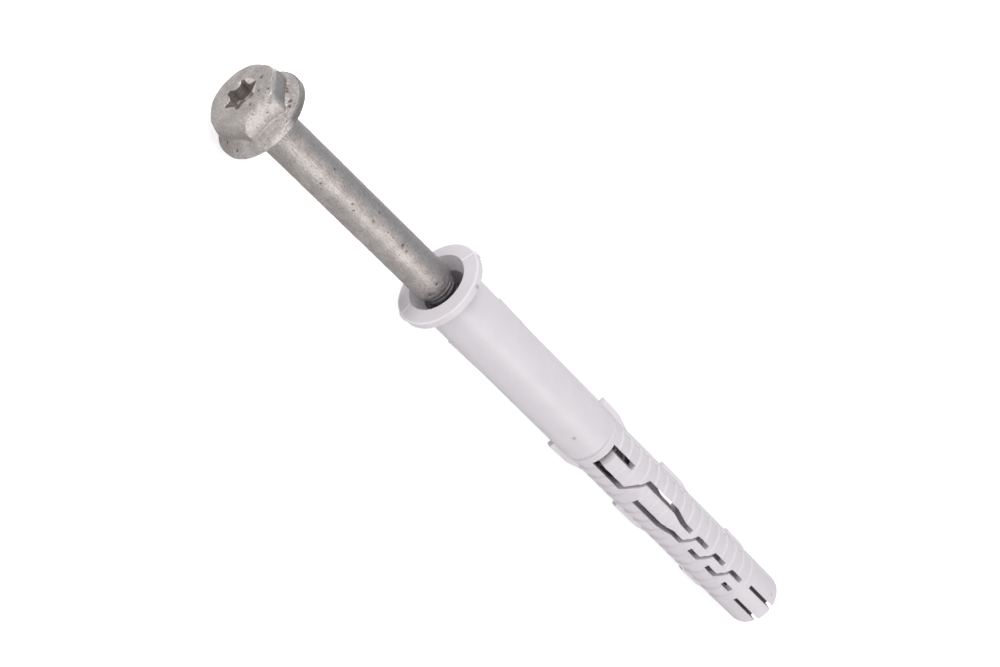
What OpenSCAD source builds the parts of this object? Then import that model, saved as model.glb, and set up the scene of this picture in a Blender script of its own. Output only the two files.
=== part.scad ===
// Frame fixing: a hexagon-head screw with a flange, pushed part of the way into a slotted
// expansion sleeve. Every length is in millimetres.
// The fixing lies along X as on a table: the head is at -X, the tip at +X, and the underside of
// the sleeve's collar is at X = 0. It rests on the flange, the collar and one of the keys on the
// collar's rim, which keeps it from rolling. One slotted side faces -Y and a little way up.

/* [Sleeve] */
// Diameter of the smooth part, which is the size of the drilled hole
sleeve_d = 12; // [11.6:0.1:13]
// Length of the smooth part, from the collar's underside to the first ring
smooth_l = 50.2; // [40:0.2:60]
// Length of the ribbed part that spreads in the wall, from the first ring to the end
spread_l = 64.8; // [64:0.2:75]
// Room between the screw and the wall of the bore
bore_gap = 0.55; // [0.3:0.05:0.7]
// Radius that rounds the far end
nose_round = 1; // [0.5:0.1:1.5]

/* [Collar] */
// Diameter of the collar
collar_d = 17.6; // [16:0.2:22]
// Thickness of the collar at its rim
collar_rim = 1.5; // [1:0.1:3]
// How much the collar's face rises from the rim to the mouth
collar_crown = 0.5; // [0.2:0.1:1.5]
// Diameter of the countersunk mouth
mouth_d = 12.1; // [11:0.1:14]
// Depth of the countersink, from the mouth to the bore
countersink_l = 2.65; // [1.5:0.05:5]
// Width of the raised line that the mould leaves across the collar
seam_w = 0.4; // [0.2:0.05:0.8]
// Height of that line
seam_h = 0.12; // [0.05:0.01:0.3]
// Width of the small key where the line meets the rim
key_w = 0.9; // [0.5:0.1:2]
// How far the key stands out of the rim
key_h = 0.25; // [0.1:0.05:0.8]

/* [Rings] */
// Distance from one ring to the next
ring_pitch = 3.35; // [3:0.05:3.6]
// Depth of the sawtooth between two rings
ring_depth = 0.3; // [0.1:0.05:0.5]
// Length of each ring's steep face, which looks towards the head
ring_rise = 0.35; // [0.1:0.05:1]
// How much the ring crests lie below the smooth part
ring_drop = 0.2; // [0.1:0.05:0.4]
// Width of the plain band along each side, where the two halves of the mould meet
side_band_w = 2.6; // [1:0.1:4]

/* [Lugs] */
// Where the three pairs of lugs begin, from the first ring
lug_start = [-4.5, 18.4, 43.9]; // [-8:0.1:50]
// Height of each lug at its steep end, above the ring crests
lug_h = [1.2, 0.65, 0.4]; // [0.3:0.05:2]
// Height of each lug where its last slope begins
lug_crown_h = [1.05, 0.6, 0.35]; // [0.2:0.05:1]
// Length of each lug up to its last slope
lug_crown_l = [6, 7.6, 5.9]; // [4:0.1:9]
// Length of the last slope of each lug
lug_slope_l = [3.9, 3, 1.5]; // [1.5:0.1:6]
// Width of the lugs
lug_w = 1.4; // [1:0.1:2.5]
// Where the thin fins on the smooth part begin, from the collar
fin_start = 10.5; // [4:0.5:20]
// Length of the fins
fin_l = 11.5; // [6:0.5:20]
// Height of the fins at their steep end
fin_h = 0.25; // [0.1:0.05:0.6]
// Width of the fins
fin_w = 0.8; // [0.4:0.1:2]

/* [Slots] */
// Width of the long slots
long_slot_w = 1.15; // [0.8:0.05:1.3]
// Width of the short slots
short_slot_w = 1; // [0.7:0.05:1.2]
// Width of the slanted cuts that join the slots
diagonal_w = 0.8; // [0.5:0.05:1]
// Width of the gap that frees the root of the first tongue
root_slot_w = 1.5; // [1:0.05:1.8]
// Distance of the long slots from the middle of the slotted side
long_slot_y = 2.2; // [2:0.05:2.3]
// Distance of the short slots from the middle of the slotted side
short_slot_y = 1.4; // [1.2:0.05:1.6]
// Number of short zigzags
zigzag_count = 3; // [2:1:3]
// Length of the slope at the root of the first tongue
tongue_slope_l = 0.75; // [0.5:0.05:0.9]
// Thickness of the first tongue at its root
tongue_root_t = 0.6; // [0.4:0.05:1]
// Width of the slits that split the far end
tip_slit_w = 0.8; // [0.4:0.1:1.2]
// Length of those slits
tip_slit_l = 9.4; // [5:0.2:10]
// Distance of those slits from the middle
tip_slit_y = 1.95; // [1.6:0.05:2.2]

/* [Channel] */
// Clearance between the screw's core and the two legs that it spreads
leg_gap = 0.2; // [0.15:0.05:0.4]
// Room above and below the screw's core between the legs
channel_room = 0.6; // [0.4:0.05:0.8]
// Diameter of the hole through the far end
nose_hole_d = 5.8; // [5:0.1:7]
// Length of that hole
nose_hole_l = 8; // [4:0.5:12]

/* [Screw] */
// Length of the screw below its head
screw_l = 120; // [116:1:128]
// Diameter of the plain shank, and of the thread's crest
shank_d = 7.8; // [7.4:0.1:8.2]
// Length of the plain shank
shank_l = 51; // [40:1:53]
// Diameter of the thread's core
core_d = 6.2; // [5.6:0.1:6.6]
// Length of the point
point_l = 6; // [3:0.5:10]
// Diameter of the blunt end of the point
point_d = 0.8; // [0.4:0.1:2]
// Distance that the screw still has to go, from the flange to the collar's underside
drive_l = 52.9; // [48:0.1:58]
// Gap that is left where the screw leans against the wall of the bore
lean_gap = 0.1; // [0.05:0.05:0.25]

/* [Head] */
// Height of the head with its flange
head_h = 6.7; // [5.5:0.1:9]
// Size of the hexagon across its flats
hex_af = 13; // [12:0.5:15]
// Angle by which the hexagon is turned from one flat side up
hex_turn = 5.5; // [0:0.5:30]
// How much smaller the round top face is than the hexagon
hex_face_drop = 1; // [0.2:0.1:1.5]
// Angle of the bevel round the top of the hexagon
hex_bevel = 30; // [15:1:40]
// How much the hexagon's corners are rounded off where that bevel ends
hex_corner_drop = 0.6; // [0.2:0.1:0.8]
// Length from the top face to where the corners are whole
hex_corner_l = 2.6; // [1.5:0.1:4]
// Diameter of the flange
flange_d = 17.7; // [16.5:0.1:22]
// Thickness of the flange at its rim
flange_rim = 1.4; // [0.8:0.1:2]
// How much the flange rises from its rim to the hexagon
flange_rise = 1.2; // [0.5:0.1:2]
// Radius that rounds the flange's edges
flange_round = 0.25; // [0.1:0.05:0.4]
// Radius of the fillet under the flange
neck_round = 0.5; // [0.2:0.1:1]
// Diameter of the six-lobe recess across its lobes
recess_d = 6.75; // [6:0.05:7.5]
// Diameter of the recess between its lobes
recess_root_d = 4.85; // [4.4:0.05:5]
// Radius of the hollows between the lobes
recess_scallop_r = 1.55; // [1.4:0.05:1.7]
// Depth of the recess
recess_l = 3; // [2:0.1:4]
// Depth of the cone at the bottom of the recess
recess_cone_l = 0.8; // [0.4:0.1:1.2]

/* [Hidden] */
$fn = 96;
steel_colour = [0.66, 0.64, 0.61];
plastic_colour = [0.85, 0.84, 0.86];
// How far a shape runs past what it cuts, or into what it grows from
overcut = 1;
// Distance by which a turned body stays clear of the corners it lets stand
slack = 0.05;
// Step of the angle along a rounded edge
arc_step = 22.5;
right_angle = 90;

sleeve_r = sleeve_d / 2;
sleeve_end = smooth_l + spread_l;
crest_r = sleeve_r - ring_drop;
valley_r = crest_r - ring_depth;
nose_drop = 0.05;
nose_r = crest_r - nose_drop;
mouth_x = -collar_rim - collar_crown;
mouth_edge_w = 0.15;

shank_r = shank_d / 2;
core_r = core_d / 2;
bore_r = shank_r + bore_gap;
bore_past = 1.8;
bore_end = smooth_l + bore_past;
countersink_slope = (mouth_d / 2 - bore_r) / countersink_l;
channel_half_w = core_r + leg_gap;
channel_r = core_r + channel_room;
channel_end = sleeve_end - nose_hole_l;
// Height of the floor of the slits at the far end, which lie beside the hole's highest line
tip_slit_drop = 0.15;
tip_slit_z = nose_hole_d / 2 - tip_slit_drop;

// Length of the slope at the end of the smooth part
smooth_end_l = 0.6;
ring_count = ceil((spread_l - tip_slit_l - ring_rise) / ring_pitch);
band_rise = 0.02;
band_r = crest_r + band_rise;
lug_root_y = valley_r - overcut;

under_head = -drive_l;
head_top = under_head - head_h;
shank_end = under_head + shank_l;
screw_tip = under_head + screw_l;
flange_r = flange_d / 2;
hex_corner_r = hex_af / 2 / cos(30);
hex_face_r = (hex_af - hex_face_drop) / 2;

// Width of the flat floor round the cone of the recess, and radius of the cone's blunt end
recess_floor_w = 0.15;
recess_point_r = 0.7;

// The screw is held between the legs at grip_x and leans from there to the bore's wall, on the
// side of the lower key.
grip_past = 1;
grip_x = bore_end + grip_past;
lean = atan((bore_gap - lean_gap) / (grip_x - mouth_x));

// Lying down, the collar touches the table at its round rim and at one corner of the lower key,
// so the key is this far round from the bottom.
key_corner_r = norm([collar_d / 2 + key_h, key_w / 2]);
key_turn = acos(collar_d / 2 / key_corner_r) + asin(key_w / 2 / key_corner_r);

// Where the slots of one side begin and bend, counted from the end of the smooth part, and
// the lengths between those places
window_past = 1.9;
window_l = 9.8;
cross_past = 11.5;
cross_l = 3.8;
second_past = 16.7;
bend_past = 26;
bend_l = 3.7;
bend_slot_l = 3.2;
zigzag_past = 36.2;
window_x = smooth_l + window_past;
window_end = smooth_l + window_l;
cross_x = smooth_l + cross_past;
second_x = smooth_l + second_past;
bend_x = smooth_l + bend_past;
zigzag_x = smooth_l + zigzag_past;
zigzag_pitch = 2 * ring_pitch;
zigzag_low_l = 3.5;
zigzag_cross_l = 2.1;
zigzag_high_l = 4;
last_slot_l = 3.1;

// The first tongue: where it begins, its own steps, and where it joins the slope before one of
// the rings, a little before the end of the slot beside it
tongue_x = window_x + root_slot_w;
tongue_step_past = 0.95;
tongue_step_pitch = 3.1;
tongue_step_count = 2;
tongue_ring = 3;
tongue_join_l = 0.2;
tongue_end = window_end - tongue_join_l;
tongue_ring_x = smooth_l + tongue_ring * ring_pitch;
tongue_end_r = valley_r + ring_depth * (tongue_ring_x - tongue_end) / (ring_pitch - ring_rise);

function heading(path, i) = (path[i + 1] - path[i]) / norm(path[i + 1] - path[i]);
function left_of(direction) = [-direction[1], direction[0]];

// The point beside path[i] on one edge of a band, where side is 1 or -1. At a bend it is
// where the edges of the two stretches cross.
function edge_point(path, widths, i, side) =
    let (last = len(path) - 1)
    let (before = heading(path, max(i - 1, 0)))
    let (after = heading(path, min(i, last - 1)))
    let (from = path[i] + side * widths[max(i - 1, 0)] / 2 * left_of(before))
    let (to = path[i] + side * widths[min(i, last - 1)] / 2 * left_of(after))
    i == 0 ? to :
    i == last ? from :
    from + before * cross(to - from, after) / cross(before, after);

// The outline of a band along a path, with one width for each of its stretches
function band_outline(path, widths) = concat(
    [for (i = [0 : len(path) - 1]) edge_point(path, widths, i, 1)],
    [for (i = [len(path) - 1 : -1 : 0]) edge_point(path, widths, i, -1)]);

function arc(x, y, r, from, to) =
    [for (a = [from : (to > from ? arc_step : -arc_step) : to]) [x + r * cos(a), y + r * sin(a)]];

// Sawtooth points [height, x] from the place start on
function sawtooth(low, high, start, pitch, count) = [for (i = [0 : count - 1])
    each [[low, start + i * pitch], [high, start + i * pitch + ring_rise]]];

// Turns a piece that is drawn with one slotted side facing +Z and the keys at -Y and +Y to the
// way it lies, with the key that was at -Y beside its lowest line
module lay_down() {
    rotate([90 - key_turn, 0, 0])
        children();
}

module turn_about_x(outline) {
    rotate([0, 90, 0])
        rotate_extrude()
            polygon(outline);
}

// Extrudes an outline in X and Z, evenly to both sides along Y
module slab_along_y(outline, width) {
    rotate([90, 0, 0])
        linear_extrude(height = width, center = true)
            polygon(outline);
}

// Extrudes an outline in X and Y, evenly to both sides along Z, and repeats it at -Y
module pair_at_sides(outline, width) {
    for (turn = [0, 180])
        rotate([turn, 0, 0])
            linear_extrude(height = width, center = true)
                polygon(outline);
}

module rod_along_x(r, from, to) {
    translate([from, 0, 0])
        rotate([0, 90, 0])
            cylinder(r = r, h = to - from);
}

// The sleeve's outside as one turned body, from the collar to the rounded end
module sleeve_turning() {
    turn_about_x(concat(
        [
            [0, mouth_x],
            [mouth_d / 2 + mouth_edge_w, mouth_x],
            [collar_d / 2, -collar_rim],
            [collar_d / 2, 0],
            [sleeve_r, 0],
            [sleeve_r, smooth_l - smooth_end_l]
        ],
        sawtooth(valley_r, crest_r, smooth_l, ring_pitch, ring_count),
        arc(nose_r - nose_round, sleeve_end - nose_round, nose_round, 0, 90),
        [[0, sleeve_end]]));
}

// The first tongues of both sides as one turned body, with the slope at their root. Under the
// rings it runs on a little into the sleeve.
module tongue_turning() {
    root_r = channel_r + tongue_root_t;
    turn_about_x(concat(
        [
            [0, tongue_x],
            [root_r, tongue_x],
            [valley_r, tongue_x + tongue_slope_l]
        ],
        sawtooth(
            valley_r,
            crest_r,
            tongue_x + tongue_step_past,
            tongue_step_pitch,
            tongue_step_count),
        [
            [tongue_end_r, tongue_end],
            [root_r, tongue_end],
            [root_r, tongue_end + overcut],
            [0, tongue_end + overcut]
        ]));
}

// The room between the slots of the first tongues, with the gap at their root
module tongue_room(end) {
    translate([window_x, -long_slot_y, -sleeve_d])
        cube([end - window_x, 2 * long_slot_y, 2 * sleeve_d]);
}

module side_bands() {
    intersection() {
        rod_along_x(band_r, smooth_l - overcut, smooth_l + ring_count * ring_pitch);
        translate([0, -sleeve_d, -side_band_w / 2])
            cube([sleeve_end, 2 * sleeve_d, side_band_w]);
    }
}

module lugs() {
    for (i = [0 : len(lug_start) - 1]) {
        from = smooth_l + lug_start[i];
        crown_end = from + lug_crown_l[i];
        slope = lug_crown_h[i] / lug_slope_l[i];
        outline = [
            [from, lug_root_y],
            [from, crest_r + lug_h[i]],
            [crown_end, crest_r + lug_crown_h[i]],
            [crown_end + lug_slope_l[i] + overcut, crest_r - slope * overcut],
            [crown_end + lug_slope_l[i] + overcut, lug_root_y]
        ];
        pair_at_sides(outline, lug_w);
    }
}

module fins() {
    slope = fin_h / fin_l;
    outline = [
        [fin_start, sleeve_r - overcut / 2],
        [fin_start, sleeve_r + fin_h],
        [fin_start + fin_l + overcut, sleeve_r - slope * overcut],
        [fin_start + fin_l + overcut, sleeve_r - overcut / 2]
    ];
    pair_at_sides(outline, fin_w);
}

// The raised mould line across the collar's face, and the key on its rim
module collar_seam() {
    line = [
        [mouth_x - seam_h, mouth_d / 2],
        [-collar_rim - seam_h, collar_d / 2],
        [-collar_rim / 2, collar_d / 2],
        [-collar_rim / 2, mouth_d / 2]
    ];
    key = [
        [-collar_rim, collar_d / 2 - overcut],
        [-collar_rim, collar_d / 2 + key_h],
        [0, collar_d / 2 + key_h],
        [0, collar_d / 2 - overcut]
    ];
    pair_at_sides(line, seam_w);
    pair_at_sides(key, key_w);
}

// The countersunk mouth and the round bore
module bore() {
    turn_about_x([
        [0, mouth_x - overcut],
        [mouth_d / 2 + countersink_slope * overcut, mouth_x - overcut],
        [bore_r, mouth_x + countersink_l],
        [bore_r, bore_end],
        [0, bore_end]
    ]);
}

// The space between the two legs, and the hole through the far end
module channel() {
    intersection() {
        rod_along_x(channel_r, bore_end - overcut, channel_end);
        translate([0, -channel_half_w, -sleeve_d])
            cube([sleeve_end, 2 * channel_half_w, 2 * sleeve_d]);
    }
    rod_along_x(nose_hole_d / 2, channel_end - overcut, sleeve_end + overcut);
}

// The last three points of a zigzag: where it leaves the lower slot, reaches the upper slot
// and ends. They repeat along X with the index i.
function zigzag_end(i) =
    let (leave = zigzag_x + i * zigzag_pitch + zigzag_low_l)
    [
        [leave, -short_slot_y],
        [leave + zigzag_cross_l, short_slot_y],
        [leave + zigzag_cross_l + zigzag_high_l, short_slot_y]
    ];

// The first tongue's slots: a plain one, and one that crosses over and runs on
module window_slots() {
    plain = [[window_x, long_slot_y], [window_end, long_slot_y]];
    crossing = [
        [window_x, -long_slot_y],
        [cross_x, -long_slot_y],
        [cross_x + cross_l, long_slot_y],
        [bend_x, long_slot_y],
        [bend_x + bend_l, short_slot_y],
        [bend_x + bend_l + bend_slot_l, short_slot_y]
    ];
    polygon(band_outline(plain, [long_slot_w]));
    polygon(band_outline(
        crossing,
        [long_slot_w, diagonal_w, long_slot_w, long_slot_w, short_slot_w]));
}

// The second long slot, which bends inwards and ends in a short zigzag
module second_slot() {
    path = concat(
        [
            [second_x, -long_slot_y],
            [bend_x, -long_slot_y],
            [bend_x + bend_l, -short_slot_y]
        ],
        zigzag_end(-1));
    polygon(band_outline(
        path,
        [long_slot_w, long_slot_w, short_slot_w, diagonal_w, short_slot_w]));
}

// The short zigzags, and the single slot that follows them
module zigzag_slots() {
    for (i = [0 : zigzag_count - 2])
        polygon(band_outline(
            concat([[zigzag_x + i * zigzag_pitch, -short_slot_y]], zigzag_end(i)),
            [short_slot_w, diagonal_w, short_slot_w]));
    last_x = zigzag_x + (zigzag_count - 1) * zigzag_pitch;
    polygon(band_outline(
        [[last_x, -short_slot_y], [last_x + last_slot_l, -short_slot_y]],
        [short_slot_w]));
}

// All the slots through both slotted sides
module side_cuts() {
    for (turn = [0, 180])
        rotate([turn, 0, 0])
            linear_extrude(height = sleeve_r + overcut) {
                window_slots();
                second_slot();
                zigzag_slots();
            }
}

// The slits stop short of the hole through the far end
module tip_slits() {
    for (side = [-1, 1], turn = [0, 180])
        rotate([turn, 0, 0])
            translate([
                sleeve_end - tip_slit_l,
                side * tip_slit_y - tip_slit_w / 2,
                tip_slit_z
            ])
                cube([tip_slit_l + overcut, tip_slit_w, sleeve_r]);
}

module sleeve() {
    color(plastic_colour)
        lay_down()
            difference() {
                union() {
                    difference() {
                        sleeve_turning();
                        tongue_room(tongue_end);
                    }
                    intersection() {
                        tongue_turning();
                        tongue_room(tongue_end + overcut);
                    }
                    side_bands();
                    lugs();
                    fins();
                    collar_seam();
                }
                bore();
                channel();
                side_cuts();
                tip_slits();
            }
}

// Flange, plain shank, thread core and point, as one turned body
module screw_turning() {
    rim_top = under_head - flange_rim;
    step_r = shank_r - core_r;
    turn_about_x(concat(
        [
            [0, rim_top - flange_rise],
            [hex_af / 2, rim_top - flange_rise]
        ],
        arc(flange_r - flange_round, rim_top + flange_round, flange_round, arc_step - right_angle, 0),
        arc(flange_r - flange_round, under_head - flange_round, flange_round, 0, 90),
        arc(shank_r + neck_round, under_head + neck_round, neck_round, 270, 180),
        arc(core_r, shank_end - step_r, step_r, 0, 90),
        [
            [core_r, screw_tip - point_l],
            [point_d / 2, screw_tip],
            [0, screw_tip]
        ]));
}

// The hexagon with its bevelled top, turned a little from one flat side up
module hexagon() {
    bevel_r = hex_corner_r - hex_corner_drop;
    bevel_l = (bevel_r - hex_face_r) * tan(hex_bevel);
    intersection() {
        translate([head_top, 0, 0])
            rotate([0, 90, 0])
                rotate([0, 0, 30 - hex_turn])
                    cylinder(r = hex_corner_r, h = head_h - flange_rim, $fn = 6);
        turn_about_x([
            [0, head_top],
            [hex_face_r, head_top],
            [bevel_r, head_top + bevel_l],
            [hex_corner_r + slack, head_top + hex_corner_l],
            [hex_corner_r + slack, under_head],
            [0, under_head]
        ]);
    }
}

// The six-lobe recess for the driver bit
module recess() {
    root_r = recess_root_d / 2;
    translate([head_top - overcut, 0, 0])
        rotate([0, 90, 0]) {
            linear_extrude(height = recess_l + overcut)
                difference() {
                    circle(d = recess_d);
                    for (i = [0 : 5])
                        rotate(60 * i)
                            translate([root_r + recess_scallop_r, 0])
                                circle(r = recess_scallop_r);
                }
            translate([0, 0, recess_l + overcut])
                cylinder(r1 = root_r - recess_floor_w, r2 = recess_point_r, h = recess_cone_l);
        }
}

module screw() {
    color(steel_colour)
        lay_down()
            translate([grip_x, 0, 0])
                rotate([0, 0, lean])
                    translate([-grip_x, 0, 0])
                        difference() {
                            union() {
                                screw_turning();
                                hexagon();
                            }
                            recess();
                        }
}

screw();
sleeve();
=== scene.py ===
"""Dresses a frame fixing: a galvanised flange screw in a slotted nylon sleeve, lying on a pale floor.

Lengths in this file are in millimetres. A piece is modelled upright in its own frame, in which
the sleeve's axis is X, its slotted sides face up and down and its collar's keys are at -Y and
+Y. It is turned to the way the fixing lies, and to metres, when its mesh is placed.
"""

import logging
import math
import random
from dataclasses import dataclass
from enum import Enum
from functools import reduce

import bmesh
import bpy
from mathutils import Matrix, Vector, noise


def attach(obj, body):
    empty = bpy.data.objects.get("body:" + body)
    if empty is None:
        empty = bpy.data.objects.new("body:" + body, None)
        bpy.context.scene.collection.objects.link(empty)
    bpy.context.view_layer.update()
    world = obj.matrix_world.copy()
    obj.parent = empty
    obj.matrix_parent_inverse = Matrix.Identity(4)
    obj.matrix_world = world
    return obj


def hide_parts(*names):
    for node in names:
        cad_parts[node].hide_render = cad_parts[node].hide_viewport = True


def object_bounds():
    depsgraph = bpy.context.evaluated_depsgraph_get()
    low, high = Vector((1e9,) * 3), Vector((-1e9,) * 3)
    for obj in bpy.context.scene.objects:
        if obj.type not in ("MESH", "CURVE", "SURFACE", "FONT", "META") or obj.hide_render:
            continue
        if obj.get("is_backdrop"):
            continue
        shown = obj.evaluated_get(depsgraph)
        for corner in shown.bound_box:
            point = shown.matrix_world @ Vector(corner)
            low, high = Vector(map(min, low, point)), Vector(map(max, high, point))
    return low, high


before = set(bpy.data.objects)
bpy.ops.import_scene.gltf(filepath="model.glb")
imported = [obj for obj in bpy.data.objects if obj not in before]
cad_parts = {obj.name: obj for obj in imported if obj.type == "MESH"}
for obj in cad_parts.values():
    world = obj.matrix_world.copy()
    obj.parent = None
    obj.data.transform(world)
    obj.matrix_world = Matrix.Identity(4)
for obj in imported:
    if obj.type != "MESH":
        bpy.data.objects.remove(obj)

log = logging.getLogger("frame_fixing")

METRES = 0.001
X_AXIS = Vector((1.0, 0.0, 0.0))
BODY = "root"

Socket = bpy.types.NodeSocket
Range = tuple[float, float]
Triple = tuple[float, float, float]


class Slot(Enum):
    """The record's material slots."""

    STEEL = "galvanised_steel"
    NYLON = "sleeve_plastic"


class Node(Enum):
    """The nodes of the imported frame."""

    SCREW = "screw"
    SLEEVE = "sleeve"


@dataclass(frozen=True)
class Lie:
    """How the fixing lies: on its flange, its collar and one key of the collar's rim."""

    key_turn: float = math.radians(16.637)
    screw_lean: float = math.radians(0.4694)
    grip_x: float = 53.0

    def sleeve_turn(self) -> float:
        """How far a piece is turned about X from upright."""
        return math.pi / 2 - self.key_turn

    def sleeve_matrix(self) -> Matrix:
        """Turns a piece of the sleeve, in millimetres, to its place in the frame."""
        return Matrix.Scale(METRES, 4) @ Matrix.Rotation(self.sleeve_turn(), 4, "X")

    def screw_matrix(self) -> Matrix:
        """Turns a piece of the leaning screw, in millimetres, to its place in the frame."""
        grip = Matrix.Translation((self.grip_x, 0.0, 0.0))
        return self.sleeve_matrix() @ grip @ Matrix.Rotation(self.screw_lean, 4, "Z") @ grip.inverted()


LIE = Lie()
UPRIGHT = LIE.sleeve_matrix().inverted() @ LIE.screw_matrix()


@dataclass(frozen=True)
class Mark:
    """A small mark on the surface, in the upright frame: a pit, a stain or a smear of dirt."""

    centre: Triple
    size: Triple
    depth: float = 0.0


HEAD_PITS = (
    Mark((-59.6, -0.3, 4.4), (0.5, 0.5, 0.5), 0.16),
    Mark((-59.6, 2.1, 2.9), (0.5, 0.45, 0.45), 0.14),
    Mark((-59.5, 3.75, 4.1), (0.45, 0.4, 0.4), 0.12),
    Mark((-59.6, 3.8, 0.35), (0.5, 0.55, 0.5), 0.15),
    Mark((-55.1, 4.9, 4.5), (0.6, 0.6, 0.6), 0.2),
    Mark((-54.95, 4.3, 5.4), (0.5, 0.5, 0.5), 0.16),
    Mark((-54.9, -8.1, 1.6), (0.5, 0.5, 0.5), 0.14),
    Mark((-54.5, -7.4, 4.85), (0.5, 0.5, 0.5), 0.14),
    Mark((-57.3, 1.1, 6.4), (0.35, 0.35, 0.35), 0.1),
    Mark((-56.6, -1.9, 6.4), (0.3, 0.3, 0.3), 0.08),
)
SHANK_PITS = (
    Mark((-15.85, 1.0, 3.6), (0.6, 0.6, 0.6), 0.24),
    Mark((-14.4, 0.7, 3.7), (0.35, 0.35, 0.35), 0.12),
    Mark((-24.2, 0.4, 3.75), (0.4, 0.4, 0.4), 0.14),
    Mark((-24.2, 2.1, 2.8), (0.4, 0.4, 0.4), 0.12),
    Mark((-3.4, -2.0, 3.6), (0.5, 0.5, 0.5), 0.18),
    Mark((-4.5, 0.4, 3.8), (0.45, 0.45, 0.45), 0.14),
    Mark((-37.4, 1.9, 2.9), (0.4, 0.4, 0.4), 0.12),
    Mark((-37.6, -1.5, 3.85), (0.4, 0.4, 0.4), 0.12),
    Mark((-30.0, -0.1, 3.85), (0.4, 0.4, 0.4), 0.12),
)


class Graph:
    """Builds the nodes of a tree."""

    def __init__(self, tree: bpy.types.NodeTree) -> None:
        """Starts with the tree emptied."""
        self.tree = tree
        self.tree.nodes.clear()

    def node(self, kind: str, inputs: dict | None = None, **settings: object) -> bpy.types.Node:
        """Adds a node.

        Args:
            kind: The node's type without the word ShaderNode.
            inputs: A number, colour or socket for each input that differs from its default.
            **settings: The node's own properties.

        Returns:
            The new node.
        """
        node = self.tree.nodes.new("ShaderNode" + kind)
        for key, value in settings.items():
            setattr(node, key, value)
        for key, value in (inputs or {}).items():
            if isinstance(value, Socket):
                self.tree.links.new(value, node.inputs[key])
            else:
                node.inputs[key].default_value = value
        return node

    def place(self, turn: float) -> Socket:
        """The point on the piece in millimetres, turned back to the upright frame about X."""
        point = self.node("TexCoord").outputs["Object"]
        scale = (1.0 / METRES,) * 3
        return self.node("Mapping", {"Vector": point, "Rotation": (-turn, 0, 0), "Scale": scale}).outputs["Vector"]

    def split(self, point: Socket) -> tuple[Socket, Socket, Socket]:
        """A point's X, Y and Z."""
        parts = self.node("SeparateXYZ", {"Vector": point}).outputs
        return parts["X"], parts["Y"], parts["Z"]

    def vector(self, operation: str, first: object, second: object) -> Socket:
        """One step of arithmetic on two vectors or sockets."""
        return self.node("VectorMath", {0: first, 1: second}, operation=operation).outputs["Vector"]

    def length(self, vector: Socket) -> Socket:
        """A vector's length."""
        return self.node("VectorMath", {0: vector}, operation="LENGTH").outputs["Value"]

    def from_axis(self, point: Socket) -> Socket:
        """How far a point is from the X axis."""
        return self.length(self.vector("MULTIPLY", point, (0.0, 1.0, 1.0)))

    def noise(self, point: Socket, scale: float, detail: float = 2.0, roughness: float = 0.5) -> Socket:
        """Soft noise with so many bumps a millimetre, from 0 to 1."""
        made = self.node("TexNoise", {"Vector": point, "Scale": scale, "Detail": detail, "Roughness": roughness})
        return made.outputs["Fac"]

    def remap(self, value: Socket, low: float, high: float, to_low: float = 0.0, to_high: float = 1.0) -> Socket:
        """Takes the range from low to high smoothly to another range, and holds its ends."""
        ends = {"From Min": low, "From Max": high, "To Min": to_low, "To Max": to_high}
        return self.node("MapRange", {"Value": value, **ends}, interpolation_type="SMOOTHSTEP").outputs["Result"]

    def maths(self, operation: str, first: object, second: object = 0.0) -> Socket:
        """One step of arithmetic on two numbers or sockets."""
        return self.node("Math", {0: first, 1: second}, operation=operation).outputs["Value"]

    def product(self, *values: object) -> Socket:
        """All the values times each other: 1 only where each of them is 1."""
        return reduce(lambda first, second: self.maths("MULTIPLY", first, second), values)

    def largest(self, *values: object) -> Socket:
        """The largest of the values: 1 where any of them is 1."""
        return reduce(lambda first, second: self.maths("MAXIMUM", first, second), values)

    def mix(self, share: object, first: object, second: object) -> Socket:
        """Mixes two colours or colour sockets."""
        pair = [value if isinstance(value, Socket) else (*value, 1.0) for value in (first, second)]
        return self.node("Mix", {0: share, 6: pair[0], 7: pair[1]}, data_type="RGBA").outputs[2]

    def scale_colour(self, colour: Socket, factor: Socket) -> Socket:
        """Makes a colour darker or paler by a factor."""
        return self.node("VectorMath", {0: colour, "Scale": factor}, operation="SCALE").outputs["Vector"]

    def marks(self, point: Socket, marks: tuple[Mark, ...]) -> Socket:
        """Soft oval marks: 1 at the middle of any of them, and 0 away from them all.

        Args:
            point: The point on the piece.
            marks: Where the marks are and how far each reaches in X, Y and Z.

        Returns:
            The share of a mark at the point.
        """
        spots = []
        for mark in marks:
            reach = self.length(self.vector("DIVIDE", self.vector("SUBTRACT", point, mark.centre), mark.size))
            spots.append(self.remap(reach, 0.9, 0.3))
        return self.largest(*spots)

    def bump(self, height: Socket, depth: float, below: Socket | None = None) -> Socket:
        """A bumped normal, where height from 0 to 1 is so many millimetres deep."""
        inputs: dict = {"Height": height, "Distance": depth * METRES, "Strength": 1.0}
        if below is not None:
            inputs["Normal"] = below
        return self.node("Bump", inputs).outputs["Normal"]


class Finish(Graph):
    """Builds the node tree of one material."""

    def __init__(self, name: str) -> None:
        """Starts a material that holds nothing yet."""
        self.material = bpy.data.materials.new(name)
        self.material.use_nodes = True
        super().__init__(self.material.node_tree)

    def done(self, shader: bpy.types.Node) -> bpy.types.Material:
        """Joins the shader to the material's output."""
        self.node("OutputMaterial", {"Surface": shader.outputs[0]})
        return self.material


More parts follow.
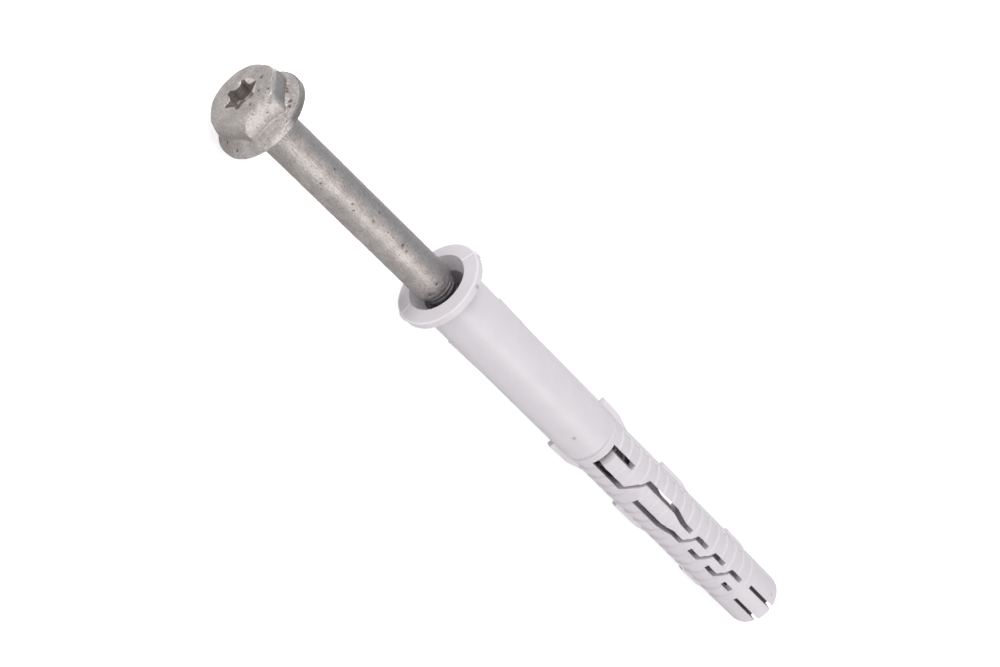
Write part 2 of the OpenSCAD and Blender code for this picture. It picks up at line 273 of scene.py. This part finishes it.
@dataclass(frozen=True)
class GalvanisedSteel:
    """Dull zinc from a hot dip: faint grey patches, a fine grain, small dark pits and a rust stain."""

    pale: Triple = (0.395, 0.364, 0.350)
    dull: Triple = (0.32, 0.297, 0.287)
    # painted shade on one side of the shank, on the steel behind it and on one flat of the head
    painted_shade: Triple = (0.208, 0.202, 0.208)
    pit: Triple = (0.11, 0.10, 0.095)
    rust: Triple = (0.17, 0.115, 0.07)
    stains: tuple[Mark, ...] = (
        Mark((-55.8, 6.2, 0.2), (0.6, 0.6, 0.6)),
        Mark((-55.7, 5.9, 0.9), (0.6, 0.5, 0.6)),
        Mark((-55.55, 5.65, 1.65), (0.6, 0.45, 0.6)),
        Mark((-55.4, 5.4, 2.35), (0.6, 0.5, 0.6)),
    )
    metallic: float = 0.8
    roughness: Range = (0.40, 0.52)
    patch_scale: float = 0.4
    grain_scale: float = 2.6
    grain_shade: Range = (0.80, 1.16)
    pit_scale: float = 1.3
    pit_reach: Range = (0.20, 0.09)
    pit_share: float = 0.85
    stain_share: float = 0.9
    streak_turn: float = 0.7
    streak_scale: Triple = (0.5, 3.5, 3.5)
    patch_bump: float = 0.10
    grain_bump: float = 0.075
    streak_bump: float = 0.05
    pit_bump: float = 0.10
    neck_x: Range = (-53.2, -52.2)
    head_y: float = -0.9
    head_shade: float = 1.12
    side_y: Range = (0.6, 3.0)
    behind_x: Range = (-2.6, -1.0)
    flat_y: Range = (3.4, 4.2)
    flat_top_x: Range = (-58.7, -57.9)
    flat_foot_x: Range = (-55.4, -55.8)
    land_r: Range = (3.5, 3.2)
    land_x: Range = (-59.0, -59.25)
    land_y: Range = (-1.2, 0.4)
    # painted highlight on the lands between the recess's lobes
    land_painted_highlight: float = 1.45
    rim_r: Range = (8.5, 8.7)
    rim_y: Range = (2.0, 4.0)
    # painted shade on one side of the flange's rim
    rim_painted_shade: float = 0.5

    def painted_shade_places(self, graph: Graph, point: Socket) -> Socket:
        """Finds where shade is painted onto the coat: one side of the shank, the steel behind it and one flat of the
        head.

        Args:
            graph: The finish's tree.
            point: The point on the screw.

        Returns:
            The share of the painted shade, from 0 to 1.
        """
        along, aside, _ = graph.split(point)
        shank = graph.product(graph.remap(aside, *self.side_y, 0.0, 0.8), graph.remap(along, *self.neck_x))
        flat = graph.product(graph.remap(aside, *self.flat_y, 0.0, 0.9), graph.remap(along, *self.flat_top_x),
                             graph.remap(along, *self.flat_foot_x))
        behind = graph.remap(along, *self.behind_x, 0.0, 0.95)
        return graph.largest(shank, flat, behind)

    def painted_head_light(self, graph: Graph, point: Socket) -> Socket:
        """Finds where a highlight and shade are painted onto the head.

        The lands between the recess's lobes get a painted highlight on one side, and the
        flange's rim gets painted shade on another.

        Args:
            graph: The finish's tree.
            point: The point on the screw.

        Returns:
            The factor for the coat's colour.
        """
        along, aside, _ = graph.split(point)
        radius = graph.from_axis(graph.vector("SUBTRACT", point, (0.0, self.head_y, 0.0)))
        land = graph.product(graph.remap(radius, *self.land_r), graph.remap(along, *self.land_x),
                             graph.remap(aside, *self.land_y))
        rim = graph.product(graph.remap(radius, *self.rim_r), graph.remap(aside, *self.rim_y))
        # painted highlight on the lands and painted shade on the rim
        return graph.product(graph.remap(land, 0.0, 1.0, 1.0, self.land_painted_highlight),
                             graph.remap(rim, 0.0, 1.0, 1.0, self.rim_painted_shade))

    def small_pits(self, graph: Graph, point: Socket) -> Socket:
        """Scatters fine pits, more of them in some areas than in others.

        Args:
            graph: The finish's tree.
            point: The point on the screw.

        Returns:
            1 in a pit and 0 beside it.
        """
        cells = graph.node("TexVoronoi", {"Vector": point, "Scale": self.pit_scale, "Randomness": 1.0})
        where = graph.remap(graph.noise(point, self.patch_scale * 2.0, 2.0), 0.50, 0.60)
        return graph.product(graph.remap(cells.outputs["Distance"], *self.pit_reach), where)

    def material(self) -> bpy.types.Material:
        """Builds the finish.

        Returns:
            The node material.
        """
        graph = Finish("galvanised_steel_coat")
        point = graph.place(LIE.sleeve_turn())
        patches = graph.noise(point, self.patch_scale, 4.0, 0.55)
        grain = graph.noise(point, self.grain_scale, 3.0, 0.6)
        drawn = {"Vector": point, "Rotation": (0, 0, self.streak_turn), "Scale": self.streak_scale}
        streaks = graph.noise(graph.node("Mapping", drawn).outputs["Vector"], 1.0, 2.0)
        small = self.small_pits(graph, point)
        hollow = graph.largest(small, graph.marks(point, HEAD_PITS + SHANK_PITS))

        coat = graph.mix(graph.remap(patches, 0.36, 0.64), self.dull, self.pale)
        along, _, _ = graph.split(point)
        coat = graph.scale_colour(coat, graph.remap(along, *self.neck_x, self.head_shade, 1.0))
        # painted shade on one side of the shank, on the steel behind it inside the mouth and on one flat of the head
        coat = graph.mix(self.painted_shade_places(graph, point), coat, self.painted_shade)
        shade = graph.remap(grain, 0.30, 0.70, *self.grain_shade)
        # the grain's tone times the head's painted highlight and painted shade
        coat = graph.scale_colour(coat, graph.product(shade, self.painted_head_light(graph, point)))
        coat = graph.mix(graph.product(graph.marks(point, self.stains), self.stain_share), coat, self.rust)
        coat = graph.mix(graph.product(hollow, self.pit_share), coat, self.pit)

        normal = graph.bump(patches, self.patch_bump)
        normal = graph.bump(grain, self.grain_bump, normal)
        normal = graph.bump(streaks, self.streak_bump, normal)
        normal = graph.bump(graph.maths("SUBTRACT", 1.0, small), self.pit_bump, normal)
        return graph.done(graph.node("BsdfPrincipled", {
            "Base Color": coat,
            "Metallic": self.metallic,
            "Roughness": graph.remap(grain, 0.25, 0.75, *self.roughness),
            "Normal": normal,
        }))


@dataclass(frozen=True)
class MouldedNylon:
    """Pale grey nylon, half matt, with a faint mottle and light shining a little way in."""

    colour: Triple = (0.725, 0.690, 0.722)
    shade: Triple = (0.705, 0.671, 0.703)
    # dirt colour of the smudges, also used as painted shade at the foot of the first tongue
    smudge_and_shade: Triple = (0.36, 0.34, 0.34)
    # painted shade colour deep in the far end's slits
    inside: Triple = (0.035, 0.032, 0.03)
    # painted highlight colour along the collar's mould lines and the edge of its face
    line: Triple = (0.92, 0.89, 0.92)
    smudges: tuple[Mark, ...] = (
        Mark((43.5, -1.7, 5.74), (0.75, 0.62, 0.9)),
        Mark((112.6, 3.85, 4.25), (0.4, 0.4, 0.4)),
        Mark((-0.4, 5.65, 6.75), (0.8, 0.7, 0.7)),
    )
    smudge_share: float = 0.7
    roughness: Range = (0.42, 0.52)
    mottle_scale: float = 0.22
    skin_scale: float = 3.2
    skin_bump: float = 0.012
    line_z: Range = (0.22, 0.1)
    line_x: float = -0.9
    line_highlight_share: float = 0.9
    edge_r: Range = (8.45, 8.65)
    edge_x: Range = (-1.25, -1.45)
    edge_highlight_share: float = 0.8
    slit_x: float = 105.6
    slit_y: float = 1.95
    slit_half: float = 0.41
    slit_z: Range = (4.5, 3.1)
    foot_x: Range = (54.55, 53.55)
    foot_end_x: float = 53.45
    foot_half: float = 1.75
    # how strongly shade is painted at the tongue's foot
    foot_shade_share: float = 0.6

    def slit_floor_shade(self, graph: Graph, point: Socket) -> Socket:
        """Finds the depth of the far end's slits, where shade is painted for the dark of the hole that the real ones
        run into.

        Args:
            graph: The finish's tree.
            point: The point on the sleeve.

        Returns:
            1 deep in a slit and 0 outside.
        """
        along, aside, up = graph.split(point)
        off_middle = graph.maths("SUBTRACT", graph.maths("ABSOLUTE", aside), self.slit_y)
        within = graph.maths("LESS_THAN", graph.maths("ABSOLUTE", off_middle), self.slit_half)
        deep = graph.remap(graph.maths("ABSOLUTE", up), *self.slit_z)
        return graph.product(within, deep, graph.maths("GREATER_THAN", along, self.slit_x))

    def highlight_lines(self, graph: Graph, point: Socket) -> Socket:
        """Finds the mould's fine lines across the collar and the edge of its face, where a highlight is painted.

        Args:
            graph: The finish's tree.
            point: The point on the sleeve.

        Returns:
            1 on a line and 0 beside it.
        """
        along, _, up = graph.split(point)
        near = graph.remap(graph.maths("ABSOLUTE", up), *self.line_z)
        lines = graph.product(near, graph.maths("LESS_THAN", along, self.line_x))
        outside = graph.remap(graph.from_axis(point), *self.edge_r)
        edge = graph.product(outside, graph.remap(along, *self.edge_x), self.edge_highlight_share)
        return graph.largest(lines, edge)

    def tongue_foot_shade(self, graph: Graph, point: Socket) -> Socket:
        """Finds the foot of the first tongue's slope, down in the gap at its root, where shade is painted.

        Args:
            graph: The finish's tree.
            point: The point on the sleeve.

        Returns:
            1 at the foot and 0 up the slope.
        """
        along, aside, _ = graph.split(point)
        down = graph.remap(along, *self.foot_x)
        before = graph.maths("GREATER_THAN", along, self.foot_end_x)
        return graph.product(down, before, graph.maths("LESS_THAN", graph.maths("ABSOLUTE", aside), self.foot_half))

    def material(self) -> bpy.types.Material:
        """Builds the finish.

        Returns:
            The node material.
        """
        graph = Finish("moulded_nylon_skin")
        point = graph.place(LIE.sleeve_turn())
        mottle = graph.noise(point, self.mottle_scale, 4.0, 0.6)
        skin = graph.noise(point, self.skin_scale, 2.0, 0.5)
        colour = graph.mix(graph.remap(mottle, 0.35, 0.65), self.shade, self.colour)
        colour = graph.mix(graph.product(graph.marks(point, self.smudges), self.smudge_share), colour, self.smudge_and_shade)
        # painted shade, in the dirt colour, at the foot of the first tongue's slope
        colour = graph.mix(graph.product(self.tongue_foot_shade(graph, point), self.foot_shade_share), colour, self.smudge_and_shade)
        # painted highlight along the collar's mould lines and the edge of its face
        colour = graph.mix(graph.product(self.highlight_lines(graph, point), self.line_highlight_share), colour, self.line)
        # painted shade deep in the far end's slits
        colour = graph.mix(self.slit_floor_shade(graph, point), colour, self.inside)
        return graph.done(graph.node("BsdfPrincipled", {
            "Base Color": colour,
            "Roughness": graph.remap(skin, 0.3, 0.7, *self.roughness),
            "Subsurface Weight": 0.15,
            "Subsurface Radius": (1.0, 0.9, 0.95),
            "Subsurface Scale": 0.8 * METRES,
            "Normal": graph.bump(skin, self.skin_bump),
        }))


class Shape:
    """A mesh in the making, in millimetres, that bmesh's own operators shape."""

    def __init__(self) -> None:
        """Starts with an empty mesh."""
        self.mesh = bmesh.new()

    def turned(self, outline: list[Range], steps: int) -> None:
        """Turns an outline about X into a closed skin.

        Args:
            outline: Points [x, radius] in order along X, the first and last on the axis.
            steps: How many faces go round.
        """
        points = [self.mesh.verts.new((x, r, 0.0)) for x, r in outline]
        edges = [self.mesh.edges.new(pair) for pair in zip(points, points[1:])]
        bmesh.ops.spin(self.mesh, geom=points + edges, axis=X_AXIS, cent=(0, 0, 0), angle=2 * math.pi,
                       steps=steps, use_merge=True, use_duplicate=False)
        bmesh.ops.remove_doubles(self.mesh, verts=self.mesh.verts, dist=1e-5)
        bmesh.ops.recalc_face_normals(self.mesh, faces=self.mesh.faces)

    def piece(self, name: str, place: Matrix, slot: Slot, material: bpy.types.Material) -> bpy.types.Object:
        """Makes the mesh an object that rides with the part.

        Args:
            name: The piece's name.
            place: Takes the mesh from millimetres in its own frame to its place.
            slot: Not used.
            material: What it is dressed in.

        Returns:
            The finished object.
        """
        data = bpy.data.meshes.new(name)
        self.mesh.to_mesh(data)
        self.mesh.free()
        data.transform(place)
        for face in data.polygons:
            face.use_smooth = True
        made = bpy.data.objects.new(name, data)
        bpy.context.scene.collection.objects.link(made)
        data.materials.append(material)
        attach(made, BODY)
        return made


@dataclass
class ScrewDress:
    """The screw: a head copied from its solid and softened, a pitted shank and a rolled thread."""

    material: bpy.types.Material
    under_head: float = -52.9
    neck_r: float = 0.5
    neck_sunk: float = 0.8
    shank_end: float = -1.9
    shank_r: float = 3.9
    core_r: float = 3.1
    point_x: float = 61.1
    tip_x: float = 67.1
    tip_r: float = 0.4
    rolled_ridges: tuple[Range, ...] = (
        (-1.6, 3.1), (-1.4, 3.34), (-1.3, 3.34), (-1.1, 3.12), (-0.7, 3.12), (-0.5, 3.3), (-0.4, 3.3), (-0.2, 3.1),
    )
    faces_round: int = 96
    shank_rows: int = 208
    corner_rows: int = 6
    shank_swells: tuple[Range, ...] = ((0.035, 0.55), (0.018, 1.7))
    fine_pits: int = 70
    fine_pit_size: Range = (0.22, 0.5)
    fine_pit_depth: Range = (0.04, 0.12)
    pitch: float = 3.6
    thread_start: float = 0.5
    thread_end: float = 62.0
    thread_run_in: float = 2.2
    thread_foot: float = 0.75
    thread_top: float = 0.16
    thread_top_drop: float = 0.06
    thread_sunk: float = 0.15
    thread_rows: int = 48
    head_cut: float = 0.2
    head_skin: float = 0.12
    head_softer: int = 3
    head_swells: tuple[Range, ...] = ((0.03, 0.7), (0.02, 1.9), (0.015, 3.7))
    recess_edge_x: float = -59.0
    recess_edge_r: float = 3.35
    recess_edge_w: float = 0.9
    recess_edge_drop: float = 0.2

    def shank(self) -> bpy.types.Object:
        """Makes the plain shank, the core behind it and the blunt point, with pits in the zinc.

        Returns:
            The finished object.
        """
        shape = Shape()
        inside = self.under_head - self.neck_sunk
        outline = [(inside, 0.0), (inside, self.shank_r + self.neck_r), (self.under_head, self.shank_r + self.neck_r)]
        quarter = [math.pi / 2 * row / self.corner_rows for row in range(1, self.corner_rows + 1)]
        for turn in quarter:
            outline.append((self.under_head + self.neck_r * (1 - math.cos(turn)),
                            self.shank_r + self.neck_r * (1 - math.sin(turn))))
        start = self.under_head + self.neck_r
        drop = self.shank_r - self.core_r
        for row in range(1, self.shank_rows + 1):
            outline.append((start + (self.shank_end - drop - start) * row / self.shank_rows, self.shank_r))
        for turn in quarter:
            outline.append((self.shank_end - drop + drop * math.sin(turn), self.core_r + drop * math.cos(turn)))
        outline += [*self.rolled_ridges, (self.point_x, self.core_r), (self.tip_x, self.tip_r), (self.tip_x, 0.0)]
        shape.turned(outline, self.faces_round)
        self.pit(shape.mesh, start, self.shank_end - 0.5)
        return shape.piece("screw_shank", LIE.screw_matrix(), Slot.STEEL, self.material)

    @staticmethod
    def dent(place: Vector, marks: tuple[Mark, ...] | list[Mark]) -> float:
        """Adds up how deep the pits are at a place.

        Args:
            place: The place, in the upright frame.
            marks: The pits.

        Returns:
            The depth.
        """
        depth = 0.0
        for mark in marks:
            reach = (place - Vector(mark.centre)).length / mark.size[0]
            if reach < 1.0:
                depth += mark.depth * (1 - reach * reach) ** 2
        return depth

    @staticmethod
    def swell(place: Vector, swells: tuple[Range, ...]) -> float:
        """How far the zinc stands out at a place, from pairs of a height and a scale."""
        return sum(height * noise.noise(place * scale) for height, scale in swells)

    def pit(self, mesh: bmesh.types.BMesh, start: float, end: float) -> None:
        """Lets the zinc coat of the shank swell and pit a little.

        Args:
            mesh: The shank's mesh, in the screw's own frame.
            start: Where the pits start along X.
            end: Where they end.
        """
        draw = random.Random(7)
        pits = list(SHANK_PITS)
        for _ in range(self.fine_pits):
            turn = draw.uniform(0, 2 * math.pi)
            size = draw.uniform(*self.fine_pit_size)
            centre = (draw.uniform(start, end), self.shank_r * math.cos(turn), self.shank_r * math.sin(turn))
            depth = draw.uniform(*self.fine_pit_depth)
            pits.append(Mark(tuple(UPRIGHT @ Vector(centre)), (size, size, size), depth))
        for vert in mesh.verts:
            if not start <= vert.co.x <= end + 0.2:
                continue
            outward = Vector((0.0, vert.co.y, vert.co.z)).normalized()
            vert.co += outward * (self.swell(vert.co, self.shank_swells) - self.dent(UPRIGHT @ vert.co, pits))

    def thread(self) -> bpy.types.Object:
        """Makes the coarse thread that runs from the shank's end to the point.

        Returns:
            The finished object.
        """
        shape = Shape()
        root = self.core_r - self.thread_sunk
        crest = self.shank_r
        side = crest - self.thread_top_drop
        ridge = [(-self.thread_foot, root), (-self.thread_top, side), (0.0, crest),
                 (self.thread_top, side), (self.thread_foot, root)]
        points = [shape.mesh.verts.new((self.thread_start + x, r, 0.0)) for x, r in ridge]
        edges = [shape.mesh.edges.new(pair) for pair in zip(points, points[1:] + points[:1])]
        turns = (self.thread_end - self.thread_start) / self.pitch
        steps = round(turns * self.thread_rows)
        bmesh.ops.spin(shape.mesh, geom=points + edges, axis=X_AXIS, cent=(0, 0, 0), angle=2 * math.pi * turns,
                       dvec=X_AXIS * (self.pitch * turns / steps), steps=steps, use_merge=False, use_duplicate=False)
        bmesh.ops.holes_fill(shape.mesh, edges=[edge for edge in shape.mesh.edges if edge.is_boundary], sides=8)
        bmesh.ops.recalc_face_normals(shape.mesh, faces=shape.mesh.faces)
        for vert in shape.mesh.verts:
            before = (vert.co.x - self.thread_start) / self.thread_run_in
            after = (self.thread_end - vert.co.x) / (2 * self.pitch)
            height = max(0.0, min(1.0, before, after))
            radius = math.hypot(vert.co.y, vert.co.z)
            wanted = root + (radius - root) * (0.15 + 0.85 * height)
            vert.co.y *= wanted / radius
            vert.co.z *= wanted / radius
        return shape.piece("screw_thread", LIE.screw_matrix(), Slot.STEEL, self.material)

    def head(self) -> bpy.types.Object:
        """Copies the head from the solid and rounds it over as its zinc coat does.

        Returns:
            The finished object.
        """
        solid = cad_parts[Node.SCREW.value]
        shape = Shape()
        shape.mesh.from_mesh(solid.data)
        bmesh.ops.transform(shape.mesh, matrix=LIE.screw_matrix().inverted(), verts=shape.mesh.verts)
        bmesh.ops.remove_doubles(shape.mesh, verts=shape.mesh.verts, dist=1e-4)
        cut = bmesh.ops.bisect_plane(
            shape.mesh, geom=[*shape.mesh.verts, *shape.mesh.edges, *shape.mesh.faces],
            plane_co=(self.under_head + self.head_cut, 0, 0), plane_no=X_AXIS, clear_outer=True)
        rim = [item for item in cut["geom_cut"] if isinstance(item, bmesh.types.BMEdge)]
        bmesh.ops.holes_fill(shape.mesh, edges=rim, sides=0)
        head = shape.piece("screw_head", Matrix.Identity(4), Slot.STEEL, self.material)
        coat = head.modifiers.new("even_skin", "REMESH")
        coat.mode = "VOXEL"
        coat.voxel_size = self.head_skin
        soften = head.modifiers.new("soften", "SMOOTH")
        soften.factor = 0.5
        soften.iterations = self.head_softer
        self.apply(head)
        skin = bmesh.new()
        skin.from_mesh(head.data)
        for vert in skin.verts:
            lift = self.swell(vert.co, self.head_swells) - self.dent(UPRIGHT @ vert.co, HEAD_PITS)
            vert.co += vert.normal * lift
            vert.co.x += self.recess_bevel(vert.co)
        bmesh.ops.transform(skin, matrix=LIE.screw_matrix(), verts=skin.verts)
        skin.to_mesh(head.data)
        skin.free()
        for face in head.data.polygons:
            face.use_smooth = True
        return head

    def recess_bevel(self, place: Vector) -> float:
        """How far the lands between the recess's lobes drop at a place of the screw's own frame."""
        on_top = max(0.0, min(1.0, (self.recess_edge_x - place.x) / 0.3))
        inward = max(0.0, min(1.0, (self.recess_edge_r - math.hypot(place.y, place.z)) / self.recess_edge_w))
        return self.recess_edge_drop * on_top * inward

    @staticmethod
    def apply(piece: bpy.types.Object) -> None:
        """Puts what a piece's modifiers make into its mesh."""
        scene = bpy.context.evaluated_depsgraph_get()
        data = bpy.data.meshes.new_from_object(piece.evaluated_get(scene))
        piece.modifiers.clear()
        piece.data = data

    def build(self) -> list[bpy.types.Object]:
        """Builds the screw's pieces, which stand for its solid.

        Returns:
            The head, the shank and the thread.
        """
        pieces = [self.head(), self.shank(), self.thread()]
        for piece in pieces:
            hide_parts(Node.SCREW.value)
        return pieces


@dataclass
class SleeveDress:
    """The sleeve, whose solid stays and gets the nylon's skin."""

    material: bpy.types.Material

    def build(self) -> list[bpy.types.Object]:
        """Dresses the sleeve's solid.

        Returns:
            The sleeve.
        """
        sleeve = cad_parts[Node.SLEEVE.value]
        sleeve.data.materials.clear()
        sleeve.data.materials.append(self.material)
        return [sleeve]


@dataclass(frozen=True)
class Lamp:
    """A square lamp."""

    name: str
    place: Triple
    size: float
    power: float
    colour: Triple

    def build(self, aim_x: float) -> None:
        """Sets up the lamp.

        Args:
            aim_x: Where along the fixing it looks.
        """
        data = bpy.data.lights.new("lamp_" + self.name, "AREA")
        data.shape = "SQUARE"
        data.size = self.size * METRES
        data.energy = self.power
        data.color = self.colour
        lamp = bpy.data.objects.new("lamp_" + self.name, data)
        bpy.context.scene.collection.objects.link(lamp)
        lamp.location = Vector(self.place) * METRES
        aim = Vector((aim_x, 0.0, 0.0)) - Vector(self.place)
        lamp.rotation_euler = aim.to_track_quat("-Z", "Y").to_euler()


@dataclass
class Studio:
    """A pale floor under the flange and the collar, soft lamps and a white surround."""

    floor_x: Range = (-53.6, -0.75)
    floor_z: Range = (-9.70, -8.80)
    floor_gap: float = 0.02
    floor_half: float = 3000.0
    floor_colour: Triple = (0.8, 0.8, 0.8)
    lift: float = 0.64
    gloss_lift: float = 0.3
    world_level: float = 0.46
    world_white: float = 1.04
    world_colour: Triple = (0.97, 0.985, 1.0)
    aim_x: float = 25.0
    lamps: tuple[Lamp, ...] = (
        Lamp("over", (-470.0, -20.0, 570.0), 380.0, 2.3, (1.0, 0.99, 0.99)),
        Lamp("front", (440.0, -577.0, 90.0), 420.0, 2.3, (1.0, 0.985, 0.975)),
        Lamp("low", (-640.0, -460.0, 85.0), 420.0, 1.75, (1.0, 0.98, 0.97)),
        Lamp("back", (60.0, 640.0, 300.0), 420.0, 0.9, (0.99, 0.995, 1.0)),
    )

    def paper(self) -> bpy.types.Material:
        """Builds the floor's paper, which the camera and the steel see white and which keeps the shadow.

        Returns:
            The node material.
        """
        graph = Finish("floor_paper")
        path = graph.node("LightPath").outputs
        seen = graph.product(path["Is Camera Ray"], self.lift)
        mirrored = graph.product(graph.largest(path["Is Glossy Ray"], path["Is Transmission Ray"]), self.gloss_lift)
        paper = graph.node("BsdfDiffuse", {"Color": (*self.floor_colour, 1.0)})
        glow = graph.node("Emission", {"Strength": graph.maths("ADD", seen, mirrored)})
        return graph.done(graph.node("AddShader", {0: paper.outputs[0], 1: glow.outputs[0]}))

    def floor(self) -> None:
        """Lays the floor along the line from the flange's lowest point to the collar's."""
        mesh = bmesh.new()
        bmesh.ops.create_grid(mesh, x_segments=2, y_segments=2, size=self.floor_half)
        slope = math.atan2(self.floor_z[1] - self.floor_z[0], self.floor_x[1] - self.floor_x[0])
        foot = Matrix.Translation((self.floor_x[0], 0.0, self.floor_z[0] - self.floor_gap))
        place = Matrix.Scale(METRES, 4) @ foot @ Matrix.Rotation(-slope, 4, "Y")
        bmesh.ops.transform(mesh, matrix=place, verts=mesh.verts)
        data = bpy.data.meshes.new("floor")
        mesh.to_mesh(data)
        mesh.free()
        floor = bpy.data.objects.new("floor", data)
        bpy.context.scene.collection.objects.link(floor)
        data.materials.append(self.paper())
        floor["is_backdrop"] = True

    def surround(self) -> None:
        """Sets up the surround: plain light on the part, and white where the camera and the steel see it."""
        world = bpy.data.worlds.new("surround")
        world.use_nodes = True
        graph = Graph(world.node_tree)
        path = graph.node("LightPath").outputs
        white = graph.largest(path["Is Camera Ray"], path["Is Glossy Ray"], path["Is Transmission Ray"])
        level = graph.node("MapRange", {"Value": white, "To Min": self.world_level, "To Max": self.world_white})
        ground = {"Color": (*self.world_colour, 1.0), "Strength": level.outputs["Result"]}
        graph.node("OutputWorld", {"Surface": graph.node("Background", ground).outputs[0]})
        bpy.context.scene.world = world

    def build(self) -> None:
        """Sets up the floor, the surround and the lamps."""
        self.floor()
        self.surround()
        for lamp in self.lamps:
            lamp.build(self.aim_x)


@dataclass(frozen=True)
class PhotoCamera:
    """The photograph's camera, fitted to the ellipses of the flange, the collar and the rings."""

    place: Triple = (-315.859, -372.915, 172.788)
    looks_at: Triple = (16.364, 0.0, 1.765)
    roll: float = math.radians(-61.159)
    lens: float = 102.6
    sensor: float = 36.0
    near: float = 10.0
    far: float = 20000.0

    def build(self) -> None:
        """Makes it the scene's camera."""
        data = bpy.data.cameras.new("photo_camera")
        data.lens = self.lens
        data.sensor_width = self.sensor
        data.sensor_fit = "HORIZONTAL"
        data.clip_start = self.near * METRES
        data.clip_end = self.far * METRES
        camera = bpy.data.objects.new("photo_camera", data)
        bpy.context.scene.collection.objects.link(camera)
        aim = Vector(self.looks_at) - Vector(self.place)
        turn = aim.to_track_quat("-Z", "Y").to_matrix().to_4x4() @ Matrix.Rotation(-self.roll, 4, "Z")
        camera.matrix_world = Matrix.Translation(Vector(self.place) * METRES) @ turn
        bpy.context.scene.camera = camera


def main() -> None:
    """Builds the camera, the studio and the dressed part."""
    logging.basicConfig(level=logging.INFO, format="%(message)s")
    cad = tuple(corner.copy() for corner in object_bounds())
    scene = bpy.context.scene
    scene.view_settings.view_transform = "Standard"
    PhotoCamera().build()
    Studio().build()
    steel = GalvanisedSteel().material()
    nylon = MouldedNylon().material()
    for piece in ScrewDress(steel).build() + SleeveDress(nylon).build():
        log.info("%s: %d faces", piece.name, len(piece.data.polygons))


if __name__ == "__main__":
    main()
